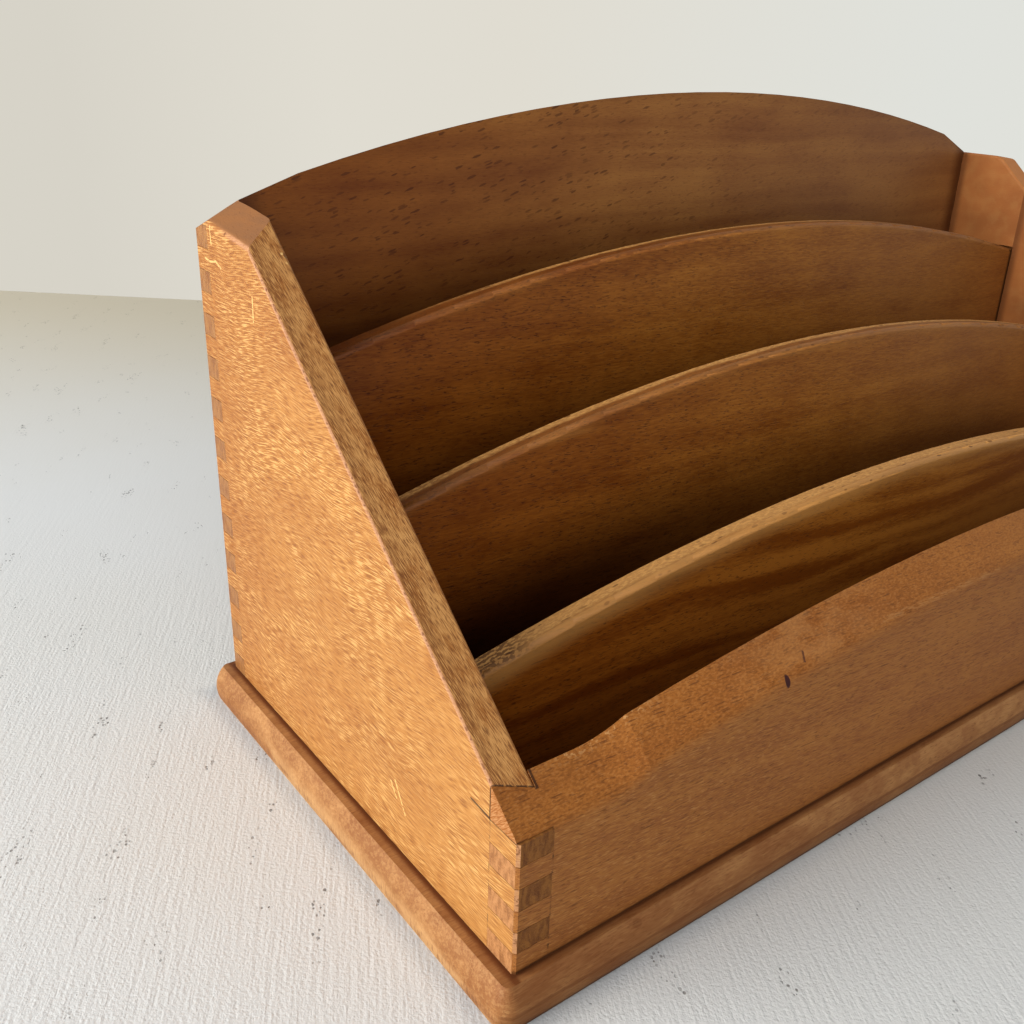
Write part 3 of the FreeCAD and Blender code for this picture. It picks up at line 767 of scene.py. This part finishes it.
def front_material(name, figure, colours):
    """The front: a smooth brown face, a richer bevel and pale finger ends."""
    shader = new_shader(name)
    x, y, z = shader.place()
    facing_x, facing_y, facing_z = shader.facing()
    wood = Beech(shader, figure, x / 1.1, z + x * 0.08, y, seed=21.0)
    face = front_face(shader, wood, x, z, colours)
    bevel = front_bevel(shader, wood, x, y, z, colours)
    on_bevel = facing_z + (wood.bands - 0.5) * 0.35
    surface = shader.mix(shader.fade(on_bevel, 0.18, 0.62), face, bevel)
    surface = front_rim(shader, surface, x, y, z, facing_z, colours)
    ends = front_ends(shader, y, z, colours)

    facing_front = shader.fade(facing_y, -0.5, -0.8)
    lines = joint_lines(shader, abs(x), z, INNER_X, OUTER_X, side_fingers(shader, z))
    lines = lines * facing_front * shader.fade(z, WEDGE_Z + 0.3, WEDGE_Z)
    foot = shader.fade(z + (wood.clouds - 0.5) * 0.8, BOX_Z + 1.0, BOX_Z + 0.5) * facing_front
    # painted shade along the foot of the front, above the base board
    foot_shade = shader.fade(z + (wood.bands - 0.5) * 2, BOX_Z + 2.2, BOX_Z) * facing_front
    hole = shader.spot(x, z, NAIL_HOLE, 0.8, 1.5)
    dent = shader.stroke(x, z, *FRONT_DENT, 0.4)
    marks = shader.highest(hole, dent * 0.75)
    pale = shader.stroke(x, z, *FRONT_SCRATCH, 1.1) * facing_front
    surface = shader.coats(
        surface,
        (shader.fade(abs(facing_x), 0.7, 0.9), ends),
        (shader.highest(lines, foot) * 0.8, GLUE_LINE),
        (foot_shade * 0.4, colours.dash),
        (marks * shader.fade(facing_y, 0.1, -0.1), NAIL_RUST),
        (pale * shader.fade(wood.fibres, 0.45, 0.6) * 0.3, colours.chip))
    height = wood.height() - lines - marks * 2
    return shader.finish(surface, wood.roughness(0.6), height, figure.relief, gloss=0.12)


# Base board and screws.

def base_nose(shader, wood, x, y, z, facing, blotches, mottle, colours):
    """The blotchy nose: worn pale at its ends, darker and spotted in front, with painted shade
    along its foot in front.
    """
    at_end = shader.fade(abs(facing[0]), 0.35, 0.6)
    in_front = shader.fade(abs(facing[1]), 0.35, 0.6)
    foot = shader.fade(z, 1.8, 0.4)
    low = shader.fade(z, BOX_Z * 0.65, BOX_Z * 0.15) * at_end
    worn = shader.fade(shader.noise(y / 26 + 8, z / 9, x / 40), 0.44, 0.60)
    worn = worn * shader.fade(z, BOX_Z * 0.75, BOX_Z * 0.35)
    lines = shader.noise(y / 0.5, z / 4.0, x / 4.0, detail=2.0)
    spots = shader.flecks(x / 3.5, z / 2.6, 0.16) * shader.fade(z, BOX_Z * 0.45, BOX_Z * 0.55)
    wavy = z + (blotches - 0.5) * 1.2
    rim = shader.between(wavy, BOX_Z * 0.40, BOX_Z * 0.46, 0.25)
    under = shader.fade(wavy, BOX_Z * 0.46, BOX_Z * 0.36)
    return shader.coats(
        wood.colour(colours.light, colours.dark, colours.dash, 0.4, clouds=1.8),
        (shader.fade(blotches, 0.45, 0.62) * 0.45, colours.dark),
        (shader.fade(mottle, 0.48, 0.62) * at_end * 0.15, colours.rubbed),
        (shader.fade(mottle, 0.48, 0.36) * at_end * 0.25, colours.dark),
        (low * 0.45, colours.dark),
        (worn * at_end * 0.45, colours.rubbed),
        (shader.fade(lines, 0.52, 0.62) * low * 0.55, colours.dash),
        (foot * (worn * 0.5 + 0.5) * at_end * 0.3, colours.rubbed),
        (spots * in_front * 0.3, colours.dash),
        (in_front * rim * 0.5, colours.dash),
        (in_front * under * 0.35, colours.dash),
        # painted contact shadow along the foot of the nose in front
        (in_front * foot * 0.6, colours.joint))


def base_material(name, figure, colours):
    """The base board: its nose, a dark strip on the ledge beside each side, a dark joint line and
    painted shade along the foot of the box.
    """
    shader = new_shader(name)
    x, y, z = shader.place()
    facing = shader.facing()
    wood = Beech(shader, figure, x, y, z, seed=40.0)
    blotches = shader.noise(x / 9 + 3, y / 9, z / 4, detail=3.0)
    mottle = shader.noise(x / 0.8, y / 1.2, z / 0.8, detail=3.0)
    nose = base_nose(shader, wood, x, y, z, facing, blotches, mottle, colours)

    ledge = shader.fade(facing[2], 0.93, 0.99)
    at_side = shader.fade(abs(x) + (mottle - 0.5) * 0.8, OUTER_X + 2.2, OUTER_X + 0.7)
    beside = ledge * at_side * shader.fade(abs(x), OUTER_X - 1, OUTER_X)
    near_x = shader.fade(abs(x), OUTER_X + 1.0, OUTER_X + 0.2)
    near_y = shader.fade(abs(y), BACK_Y + 0.9, BACK_Y + 0.2)
    # painted shade on the ledge along the foot of the box
    foot_shade = shader.fade(abs(x), OUTER_X + 1.6, OUTER_X + 0.3)
    foot_shade = foot_shade * shader.fade(abs(y) + (blotches - 0.5) * 2, BACK_Y + 2.4, BACK_Y + 0.6) * ledge
    surface = shader.coats(
        nose,
        (beside * 0.9, colours.dash),
        (ledge * near_x * near_y * 0.85, colours.joint),
        (foot_shade * 0.6, colours.dash))
    height = wood.height() + blotches * 1.5
    return shader.finish(surface, wood.roughness(0.62), height, figure.relief, gloss=0.12)


def screw_material(name, colours):
    """Steel with turned scratches."""
    shader = new_shader(name)
    x, y, z = shader.place()
    scratches = shader.noise(x / 0.3, y / 2.5, z / 2.5, detail=2.0)
    tone = shader.mix(shader.fade(scratches, 0.3, 0.7) * 0.3, colours.steel, colours.steel_dark)
    return shader.finish(tone, 0.35 + scratches * 0.2, scratches, colours.relief,
                         metallic=1.0, gloss=0.5)


# Stage.

def floor_material(name, stage):
    """Brushed paint, chipped in clusters, whose pattern lies along the world's axes."""
    shader = new_shader(name)
    right, local_far, _ = shader.place()
    far = local_far + (stage.wall_distance - stage.floor_size / 2) * MILLIMETRES
    cosine, sine = math.cos(stage.wall_turn), -math.sin(stage.wall_turn)
    x, y = right * cosine + far * sine, far * cosine - right * sine
    tone = shader.noise(x / 180, y / 180, 0.0, detail=3.0)
    along, across = x * 0.5 + y * 0.86, x * 0.86 - y * 0.5
    brush = shader.noise(along / 14, across / 1.3, 0.0, detail=3.0)
    grain = shader.noise(x / 0.9, y / 0.9, 3.0, detail=2.0)
    clusters = shader.fade(shader.noise(along / 22, across / 9, 2.0), 0.60, 0.68)
    specks = shader.flecks(along / 1.2, across / 0.9, 0.25) * clusters
    outside = shader.highest(abs(x) - BASE_HIGH.x, abs(y) - BASE_HIGH.y)
    # painted contact shadow on the floor along the left of the base board
    contact = shader.fade(outside, 6.5, 0.0) * shader.fade(x, 0.0, -150.0)
    paint = shader.coats(
        stage.floor,
        (shader.fade(far, 60.0, stage.wall_distance * MILLIMETRES), stage.floor_far),
        (shader.fade(tone, 0.3, 0.7) * 0.15, stage.floor_far),
        (contact * 0.4, stage.floor_contact_shadow),
        (specks * 0.8, stage.floor_speck))
    near = shader.fade(far, 60.0, -60.0) * 0.8 + 0.2
    relief = (brush * 0.45 + grain * 0.45) * near - specks * 0.5
    return shader.finish(paint, 0.7, relief, stage.floor_relief)


def add_floor(stage):
    """A wide floor whose far edge meets the plain wall."""
    bpy.ops.object.select_all(action="DESELECT")
    away = Vector((-math.sin(stage.wall_turn), math.cos(stage.wall_turn), 0.0))
    bpy.ops.mesh.primitive_plane_add(size=stage.floor_size, rotation=(0.0, 0.0, stage.wall_turn),
                                     location=away * (stage.wall_distance - stage.floor_size / 2))
    floor = bpy.context.object
    floor.name = "floor"
    floor.data.materials.append(floor_material("painted_floor", stage))


def set_sky(stage):
    """Even light from all round, and a plain wall behind for the camera and for reflections."""
    world = bpy.data.worlds.new("studio")
    shader = Shader(world)
    camera_ray = shader.node("ShaderNodeLightPath", {}, output="Is Camera Ray")
    glossy_ray = shader.node("ShaderNodeLightPath", {}, output="Is Glossy Ray")
    rightward = shader.parts(shader.node("ShaderNodeTexCoord", {}, output="Generated"))[0]
    wall = stage.wall
    for tint, start, end in ((stage.wall_left, 0.46, 0.26), (stage.wall_right, 0.60, 0.84)):
        amount = shader.node("ShaderNodeMapRange",
                             {"Value": rightward, "From Min": start, "From Max": end})
        wall = shader.mix(amount, wall, tint)
    light = shader.node("ShaderNodeBackground",
                        {"Color": (*stage.sky_tint, 1.0), "Strength": stage.sky_strength})
    backdrop = shader.node("ShaderNodeBackground", {"Color": wall})
    either = shader.node("ShaderNodeMixShader",
                         {0: shader.highest(camera_ray, glossy_ray), 1: light, 2: backdrop})
    bpy.context.scene.world = shader.close(either, "ShaderNodeOutputWorld")


def add_area_light(name, place, target, size, power, tint):
    """A rectangular lamp at a place, aimed at a target."""
    data = bpy.data.lights.new(name, "AREA")
    data.shape = "RECTANGLE"
    data.size, data.size_y = size
    data.energy = power
    data.color = tint
    lamp = bpy.data.objects.new(name, data)
    lamp.location = place
    aim = Vector(target) - Vector(place)
    lamp.rotation_mode = "QUATERNION"
    lamp.rotation_quaternion = aim.to_track_quat("-Z", "Y")
    bpy.context.scene.collection.objects.link(lamp)


def add_camera(view):
    """A camera at its place, turned about Z, tipped down and rolled."""
    data = bpy.data.cameras.new("camera")
    data.lens = view.lens
    data.clip_start = 0.01
    camera = bpy.data.objects.new("camera", data)
    camera.location = view.place
    back = Vector((math.sin(view.azimuth) * math.cos(view.elevation),
                   -math.cos(view.azimuth) * math.cos(view.elevation),
                   math.sin(view.elevation)))
    camera.rotation_mode = "QUATERNION"
    camera.rotation_quaternion = ((-back).to_track_quat("-Z", "Y")
                                  @ Quaternion((0.0, 0.0, 1.0), view.roll))
    bpy.context.scene.collection.objects.link(camera)
    bpy.context.scene.camera = camera


class LetterSorterSettings(PropertyGroup):
    """All the sizes and colours that a user can change."""
    figure: PointerProperty(type=FigureSettings)
    side: PointerProperty(type=SideSettings)
    back: PointerProperty(type=BackSettings)
    front: PointerProperty(type=FrontSettings)
    divider: PointerProperty(type=DividerSettings)
    base: PointerProperty(type=BaseSettings)
    screw: PointerProperty(type=ScrewSettings)
    stage: PointerProperty(type=StageSettings)
    camera: PointerProperty(type=CameraSettings)


class SorterOperator:
    """What the operators share."""
    bl_options = {"REGISTER", "UNDO"}


class SORTER_OT_finish_sides(SorterOperator, Operator):
    """Give the two sides their golden, worn finish."""
    bl_idname = "sorter.finish_sides"
    bl_label = "Finish Sides"

    def execute(self, context):
        settings = context.scene.letter_sorter
        for side, sign in (("left_side", -1), ("right_side", 1)):
            give(side, side_material("beech_" + side, sign, settings.figure, settings.side))
        return {"FINISHED"}


class SORTER_OT_finish_back(SorterOperator, Operator):
    """Give the back its dark, flecked finish."""
    bl_idname = "sorter.finish_back"
    bl_label = "Finish Back"

    def execute(self, context):
        settings = context.scene.letter_sorter
        give("back_panel", back_material("beech_back", settings.figure, settings.back))
        return {"FINISHED"}


class SORTER_OT_finish_front(SorterOperator, Operator):
    """Give the front its brown finish, with paler finger ends."""
    bl_idname = "sorter.finish_front"
    bl_label = "Finish Front"

    def execute(self, context):
        settings = context.scene.letter_sorter
        give("front_panel", front_material("beech_front", settings.figure, settings.front))
        return {"FINISHED"}


class SORTER_OT_finish_dividers(SorterOperator, Operator):
    """Give each divider its own figure and a rubbed top edge."""
    bl_idname = "sorter.finish_dividers"
    bl_label = "Finish Dividers"

    def execute(self, context):
        settings = context.scene.letter_sorter
        looks = (dict(seed=50.0, bands=4.0, rubbed=0.8, depth=80.0, bare_from=-210.0),
                 dict(seed=57.0, bands=1.0, rubbed=0.3, depth=52.0, bare_from=-210.0),
                 dict(seed=64.0, bands=1.0, rubbed=0.15, depth=72.0, bare_from=-110.0))
        for node, look in zip(DIVIDERS, looks):
            give(node, divider_material("beech_" + node, node, settings.figure, settings.divider,
                                        **look))
        return {"FINISHED"}


class SORTER_OT_finish_base(SorterOperator, Operator):
    """Give the base board its worn nose and its screws their steel."""
    bl_idname = "sorter.finish_base"
    bl_label = "Finish Base"

    def execute(self, context):
        settings = context.scene.letter_sorter
        give("base_board", base_material("beech_base", settings.figure, settings.base))
        give("base_screws", screw_material("steel_screws", settings.screw))
        return {"FINISHED"}


class SORTER_OT_add_stage(SorterOperator, Operator):
    """Lay the floor and light it from a window on the left."""
    bl_idname = "sorter.add_stage"
    bl_label = "Add Stage"

    def execute(self, context):
        stage = context.scene.letter_sorter.stage
        add_floor(stage)
        set_sky(stage)
        add_area_light("window", place=(-1.5, 0.25, 0.55), target=(0.0, 0.0, 0.1),
                       size=(1.5, 1.3), power=stage.window_power, tint=stage.window_tint)
        add_area_light("front_fill", place=(-1.0, -1.5, 1.1), target=(0.0, 0.0, 0.08),
                       size=(1.6, 1.4), power=stage.fill_power, tint=stage.fill_tint)
        bpy.context.scene.view_settings.view_transform = "Standard"
        return {"FINISHED"}


class SORTER_OT_add_camera(SorterOperator, Operator):
    """Stand the camera in front of the left corner."""
    bl_idname = "sorter.add_camera"
    bl_label = "Add Camera"

    def execute(self, context):
        add_camera(context.scene.letter_sorter.camera)
        return {"FINISHED"}


OPERATORS = (SORTER_OT_finish_sides, SORTER_OT_finish_back, SORTER_OT_finish_front,
             SORTER_OT_finish_dividers, SORTER_OT_finish_base, SORTER_OT_add_stage,
             SORTER_OT_add_camera)


class SORTER_PT_panel(Panel):
    """Buttons for every finish and for the stage."""
    bl_idname = "SORTER_PT_panel"
    bl_label = "Letter Sorter"
    bl_space_type = "VIEW_3D"
    bl_region_type = "UI"
    bl_category = "Letter Sorter"

    def draw(self, context):
        for operator in OPERATORS:
            self.layout.operator(operator.bl_idname)


CLASSES = (FigureSettings, SideSettings, BackSettings, FrontSettings, DividerSettings, BaseSettings,
           ScrewSettings, StageSettings, CameraSettings, LetterSorterSettings, *OPERATORS,
           SORTER_PT_panel)


def register():
    for cls in CLASSES:
        bpy.utils.register_class(cls)
    bpy.types.Scene.letter_sorter = PointerProperty(type=LetterSorterSettings)


def unregister():
    del bpy.types.Scene.letter_sorter
    for cls in reversed(CLASSES):
        bpy.utils.unregister_class(cls)


def main():
    register()
    for operator in OPERATORS:
        family, action = operator.bl_idname.split(".")
        getattr(getattr(bpy.ops, family), action)()


if __name__ == "__main__":
    main()
